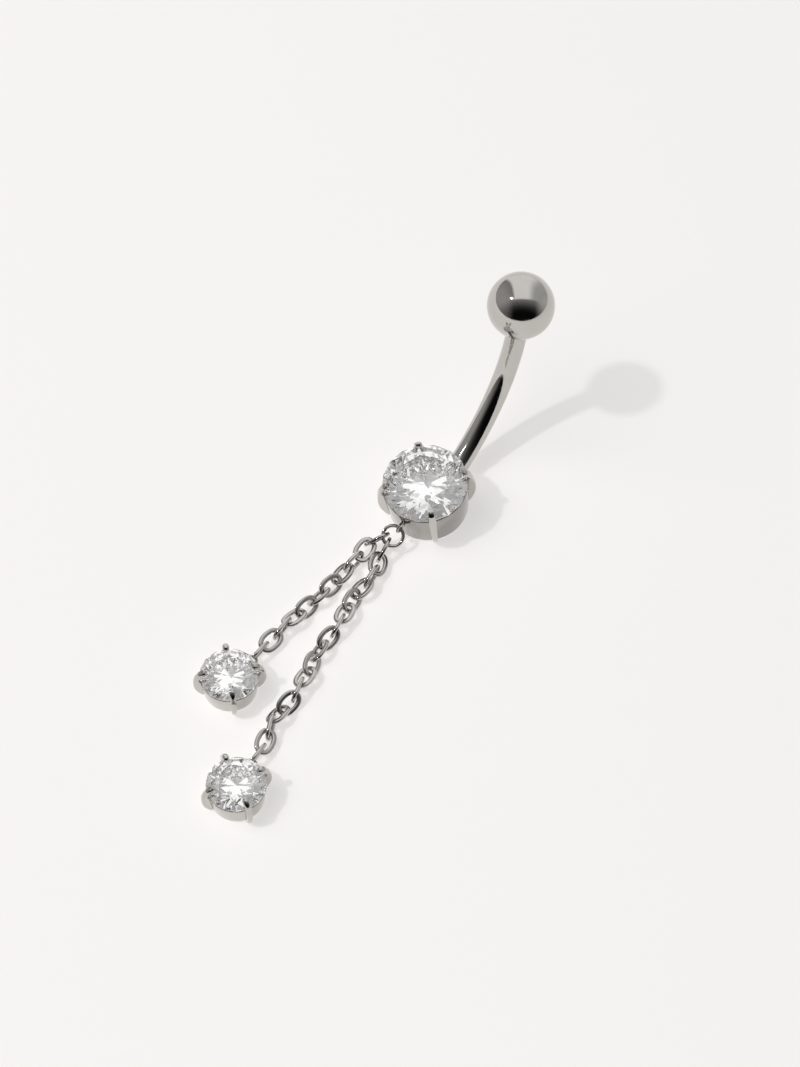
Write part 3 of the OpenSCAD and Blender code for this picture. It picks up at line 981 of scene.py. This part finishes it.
class NAVEL_OT_jump_ring(BuildOperator):
    """Make the jump ring that carries both chains"""
    bl_idname = "navel.jump_ring"
    bl_label = "Jump ring"

    def execute(self, context):
        c = context.scene.chain_sizes
        centre, turn = solid_axes("jump_ring")
        place = Matrix.Translation(centre) @ turn.to_matrix().to_4x4()
        ring = hoop_shape(c.ring_d, c.ring_wire, place).mesh("jump_ring_wire")
        piece = show(ring, "jump_ring_wire", finish_material("Polished steel"), PIECE)
        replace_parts(piece, "jump_ring")
        return {"FINISHED"}


class NAVEL_OT_chains(BuildOperator):
    """Make both chains, each of links set along its route"""
    bl_idname = "navel.chains"
    bl_label = "Chains"

    def execute(self, context):
        c = context.scene.chain_sizes
        tree = links_tree()
        metal = finish_material("Chain steel")
        for letter in "ab":
            nodes = sorted(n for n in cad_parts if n.startswith(f"chain_{letter}_link_"))
            laid = [solid_axes(n) for n in nodes]
            spots = bpy.data.meshes.new("Spots")
            spots.from_pydata([centre for centre, turn in laid], [], [])
            turns = spots.attributes.new("turn", "FLOAT_VECTOR", "POINT")
            for spot, (centre, turn) in zip(turns.data, laid):
                spot.vector = turn
            values = {"Wire": c.wire, "Flat": c.flat, "Inner Length": c.inner, "Inner Width": c.inner_w,
                      "Roundness": c.roundness, "Flatness": c.flatness, "Material": metal}
            mesh = bake(spots, tree, values, "Links")
            piece = show(mesh, f"chain_{letter}", metal, PIECE)
            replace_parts(piece, *nodes)
        return {"FINISHED"}


class NAVEL_OT_stones(BuildOperator):
    """Give the cut stones their clear finish"""
    bl_idname = "navel.stones"
    bl_label = "Stones"

    def execute(self, context):
        for node in ("main_stone", "drop_a_stone", "drop_b_stone"):
            show_stone(node)
        return {"FINISHED"}


class NAVEL_OT_stage(BuildOperator):
    """Make the floor, the light and the camera"""
    bl_idname = "navel.stage"
    bl_label = "Stage"

    def execute(self, context):
        stage = context.scene.stage_sizes
        make_floor(tuple(context.scene.finishes.floor))
        make_camera(stage)
        make_lights(stage)
        make_world(stage)
        context.scene.view_settings.view_transform = "Standard"
        let_light_into_stones(context.scene.cycles)
        return {"FINISHED"}


def let_light_into_stones(cycles):
    """With fewer bounces, parts of the stones turn black"""
    cycles.max_bounces = STONE_BOUNCES
    cycles.glossy_bounces = STONE_BOUNCES
    cycles.transmission_bounces = STONE_BOUNCES


def make_floor(colour):
    mesh = bpy.data.meshes.new("floor")
    sides = ((-1, -1), (1, -1), (1, 1), (-1, 1))
    corners = [(x * FLOOR_HALF, y * FLOOR_HALF, -FLOOR_DROP) for x, y in sides]
    mesh.from_pydata(corners, [], [(0, 1, 2, 3)])
    mesh.materials.append(floor_material("Pale floor", colour))
    floor = bpy.data.objects.new("floor", mesh)
    bpy.context.scene.collection.objects.link(floor)


def make_camera(stage):
    data = bpy.data.cameras.new("camera")
    data.sensor_fit = "HORIZONTAL"
    data.sensor_width = 36.0
    data.lens = stage.lens
    data.clip_start = 0.005
    camera = bpy.data.objects.new("camera", data)
    flat = cos(stage.elevation)
    back = Vector((sin(stage.azimuth) * flat, -cos(stage.azimuth) * flat, sin(stage.elevation)))
    camera.location = LOOKED_AT + back * stage.distance
    camera.rotation_euler = back.to_track_quat("Z", "Y").to_euler()
    bpy.context.scene.collection.objects.link(camera)
    bpy.context.scene.camera = camera


def add_light(name, kind, place, target, **settings):
    data = bpy.data.lights.new(name, kind)
    for key, value in settings.items():
        setattr(data, key, value)
    light = bpy.data.objects.new(name, data)
    light.location = place
    light.rotation_euler = (Vector(place) - Vector(target)).to_track_quat("Z", "Y").to_euler()
    bpy.context.scene.collection.objects.link(light)
    return light


def make_lights(stage):
    """A sun for the shadow, a soft light with a faint shadow and a soft light with none"""
    middle = (0, 0, 0)
    add_light("sun", "SUN", SUN_WAY, middle, energy=stage.sun, angle=SUN_ANGLE)
    for name, power, shadow in (("fill", stage.fill, True), ("wash", stage.wash, False)):
        soft = add_light(name, "AREA", SOFT_LIGHT_PLACE, middle, energy=power, shape="SQUARE",
                         size=SOFT_LIGHT_SIZE)
        soft.data.use_shadow = shadow
        soft.visible_glossy = False
        soft.visible_transmission = False
        soft.visible_camera = False


def make_world(stage):
    """A dark room with one wide soft panel over the piece and beyond it"""
    world = bpy.data.worlds.new("Room")
    world.use_nodes = True
    bpy.context.scene.world = world
    tree = world.node_tree
    where = add_node(tree, "ShaderNodeTexCoord").outputs["Generated"]
    beyond = Vector((-sin(stage.azimuth), cos(stage.azimuth), 0))
    aside = Vector((cos(stage.azimuth), sin(stage.azimuth), 0))
    near_edge = cos(stage.panel_edge) * beyond + sin(stage.panel_edge) * Vector((0, 0, 1))
    past_edge = along(tree, where, near_edge)
    sideways = along(tree, where, aside)
    panel = math_node(tree, "MULTIPLY", soft_step(tree, past_edge, *PANEL_NEAR_EDGE),
                      soft_step(tree, sideways, *PANEL_LEFT_EDGE))
    panel = math_node(tree, "MULTIPLY", panel, soft_step(tree, sideways, *PANEL_RIGHT_EDGE))
    dimmer = soft_step(tree, sideways, *PANEL_DIMS)
    panel_light = spread(tree, dimmer, stage.panel, stage.panel * PANEL_DIM_SHARE, 0.0, 1.0)
    glow = soft_step(tree, past_edge, *GLOW_RISES)
    glow = math_node(tree, "MULTIPLY", glow, glow)
    right_wing = soft_step(tree, sideways, *RIGHT_WING)
    left_wing = soft_step(tree, sideways, *LEFT_WING)
    left_wing = math_node(tree, "MULTIPLY", left_wing, LEFT_WING_SHARE)
    wings = math_node(tree, "ADD", right_wing, left_wing)
    wings = math_node(tree, "MULTIPLY", wings, stage.wings)
    glow = math_node(tree, "MULTIPLY", glow, stage.wings)
    room = math_node(tree, "ADD", math_node(tree, "ADD", wings, glow), stage.room)
    through = add_node(tree, "ShaderNodeLightPath").outputs["Is Transmission Ray"]
    room = add_node(tree, "ShaderNodeMix", _0=through, _2=room, _3=stage.stone_glow).outputs[0]
    bright = add_node(tree, "ShaderNodeMix", _0=through, _2=panel_light, _3=stage.stone_panel).outputs[0]
    lit = add_node(tree, "ShaderNodeMix", _0=panel, _2=room, _3=bright)
    tree.links.new(lit.outputs[0], tree.nodes["Background"].inputs["Color"])
    tree.nodes["Background"].inputs["Strength"].default_value = 1.0
    world.cycles_visibility.diffuse = False


def along(tree, vector, way):
    """How far a direction leans one way"""
    made = add_node(tree, "ShaderNodeVectorMath", {"operation": "DOT_PRODUCT"}, _0=vector, _1=way)
    return made.outputs["Value"]


def soft_step(tree, value, start, end):
    """Rises smoothly from 0 at the start to 1 at the end"""
    high_first = start > end
    low, high = (end, start) if high_first else (start, end)
    from_value, to_value = (1.0, 0.0) if high_first else (0.0, 1.0)
    made = add_node(tree, "ShaderNodeMapRange", {"interpolation_type": "SMOOTHSTEP"},
                    _0=value, _1=low, _2=high, _3=from_value, _4=to_value)
    return made.outputs[0]


class NAVEL_PT_panel(bpy.types.Panel):
    """The navel ring's sizes and its pieces"""
    bl_idname = "NAVEL_PT_panel"
    bl_label = "Navel Ring"
    bl_space_type = "VIEW_3D"
    bl_region_type = "UI"
    bl_category = "Navel Ring"

    def draw(self, context):
        layout = self.layout
        for key, group in GROUPS.items():
            box = layout.box()
            box.label(text=key.replace("_", " ").capitalize())
            for name in group.__annotations__:
                box.prop(getattr(context.scene, key), name)
        for operator in OPERATORS:
            layout.operator(operator.bl_idname)


OPERATORS = (NAVEL_OT_bar, NAVEL_OT_ball, NAVEL_OT_main_setting, NAVEL_OT_drops, NAVEL_OT_jump_ring,
             NAVEL_OT_chains, NAVEL_OT_stones, NAVEL_OT_stage)
CLASSES = (*GROUPS.values(), *OPERATORS, NAVEL_PT_panel)


def register():
    for cls in CLASSES:
        bpy.utils.register_class(cls)
    for key, group in GROUPS.items():
        setattr(bpy.types.Scene, key, PointerProperty(type=group))


def unregister():
    for key in GROUPS:
        delattr(bpy.types.Scene, key)
    for cls in reversed(CLASSES):
        bpy.utils.unregister_class(cls)


def main():
    register()
    for operator in OPERATORS:
        family, name = operator.bl_idname.split(".")
        getattr(getattr(bpy.ops, family), name)()


if __name__ == "__main__":
    main()
